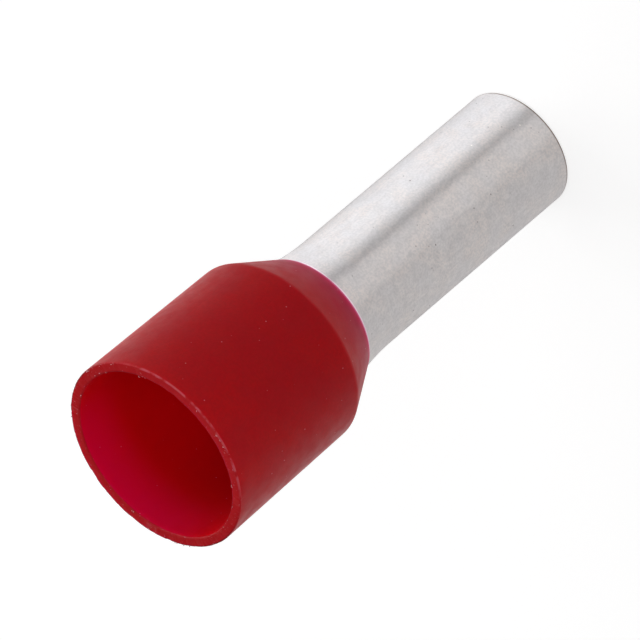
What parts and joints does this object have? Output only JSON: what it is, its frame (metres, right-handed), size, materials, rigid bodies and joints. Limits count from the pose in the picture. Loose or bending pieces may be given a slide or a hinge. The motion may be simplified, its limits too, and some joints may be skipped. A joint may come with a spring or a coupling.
{
  "type": "wire ferrule",
  "caption": "Insulated wire ferrule: a moulded plastic collar with a wide mouth on the flared end of a tinned copper tube, which is crimped on a stranded wire.",
  "frame": {"origin": "centre of the tube's tip, which the ferrule stands on", "axes": "+Z along the common axis of the tube and the collar, from the tube's tip to the collar's mouth; round about Z, so X and Y are free"},
  "size_m": [0.008, 0.008, 0.022],
  "materials": {
    "collar_plastic": "satin moulded plastic, signal red, slightly see-through where it is thin",
    "tinned_copper": "matt electro-tinned copper with a fine mottle"
  },
  "bodies": {
    "root": {"collar": "collar_plastic", "tube": "tinned_copper"}
  },
  "joints": []
}
